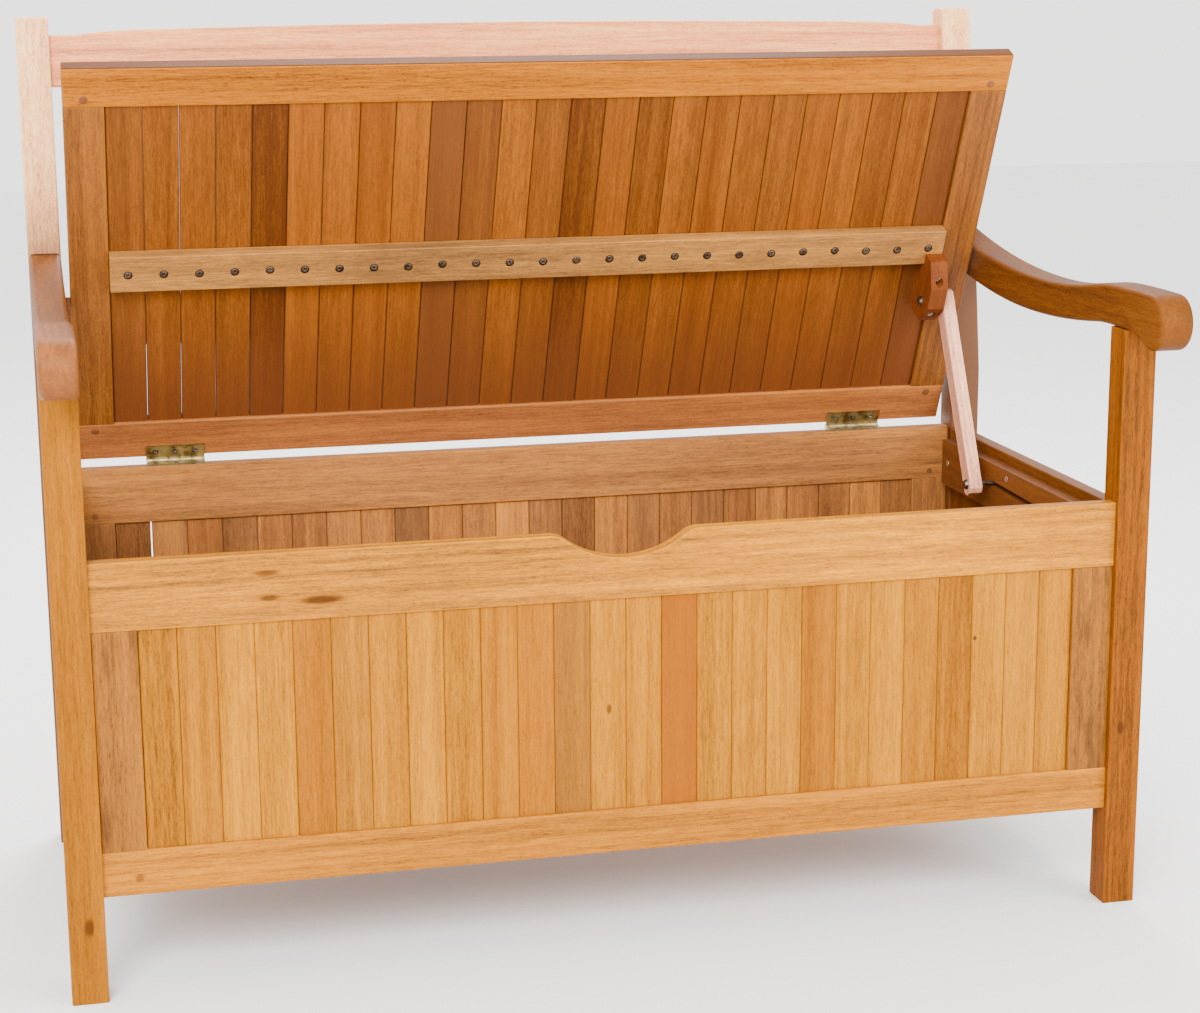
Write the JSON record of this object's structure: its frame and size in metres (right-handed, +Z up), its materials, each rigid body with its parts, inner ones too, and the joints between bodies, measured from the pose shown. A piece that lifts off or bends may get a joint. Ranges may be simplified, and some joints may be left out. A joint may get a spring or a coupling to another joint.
{
  "type": "settle bench",
  "caption": "Wooden settle bench with scrolled arms, a raked slatted back and a storage box under the seat; its slatted lid is propped open by a sliding strut.",
  "frame": {"origin": "on the floor under the middle of the bench's bounding box", "axes": "+Z up, the bench's front faces -Y, +X to the viewer's right"},
  "size_m": [1.1, 0.6368, 0.92],
  "materials": {
    "frame_wood": "oiled",
    "box_wood": "oiled",
    "slat_wood": "oiled",
    "lid_wood": "oiled",
    "stay_wood": "oiled",
    "strut_wood": "oiled",
    "hinge_brass": "satin",
    "screw_steel": "satin"
  },
  "bodies": {
    "bench": {"front_leg_left": "frame_wood", "front_leg_right": "frame_wood", "back_post_left": "frame_wood", "back_post_right": "frame_wood", "arm_left": "frame_wood", "arm_right": "frame_wood", "crest_rail": "frame_wood", "lower_back_rail": "frame_wood", "back_slats": "frame_wood", "front_top_rail": "box_wood", "front_bottom_rail": "box_wood", "front_stile_left": "box_wood", "front_stile_right": "box_wood", "rear_top_rail": "box_wood", "rear_bottom_rail": "box_wood", "rear_stile_left": "box_wood", "rear_stile_right": "box_wood", "left_side_top_rail": "box_wood", "left_side_bottom_rail": "box_wood", "right_side_top_rail": "box_wood", "right_side_bottom_rail": "box_wood", "floor_cleat_front": "box_wood", "floor_cleat_rear": "box_wood", "front_slats": "slat_wood", "rear_slats": "slat_wood", "left_side_slats": "slat_wood", "right_side_slats": "slat_wood", "floor_boards": "slat_wood", "stay_guide_board": "stay_wood", "hinge_box_leaf_left": "hinge_brass", "hinge_box_leaf_right": "hinge_brass", "hinge_pin_left": "hinge_brass", "hinge_pin_right": "hinge_brass"},
    "lid": {"lid_front_rail": "lid_wood", "lid_rear_rail": "lid_wood", "lid_stile_left": "lid_wood", "lid_stile_right": "lid_wood", "lid_slats": "slat_wood", "lid_batten": "lid_wood", "stay_block": "stay_wood", "stay_pivot_bolt": "screw_steel", "stay_washer": "screw_steel", "hinge_lid_leaf_left": "hinge_brass", "hinge_lid_leaf_right": "hinge_brass"},
    "strut": {"stay_strut": "strut_wood", "stay_slide_bolt": "screw_steel"}
  },
  "joints": [
    {"name": "lid_hinge", "type": "hinge", "parent": "bench", "child": "lid", "pos_m": [0, 0.25712, 0.4305], "axis": [1, 0, 0], "range_deg": [0, 64.7]},
    {"name": "strut_swing", "type": "hinge", "parent": "lid", "child": "strut", "pos_m": [0.477, 0.15627, 0.59188], "axis": [1, 0, 0], "range_deg": [-124.7, 0]}
  ],
  "couplings": [
    {"joint": "strut_swing", "follows": "lid_hinge", "ratio": -1.9273}
  ]
}
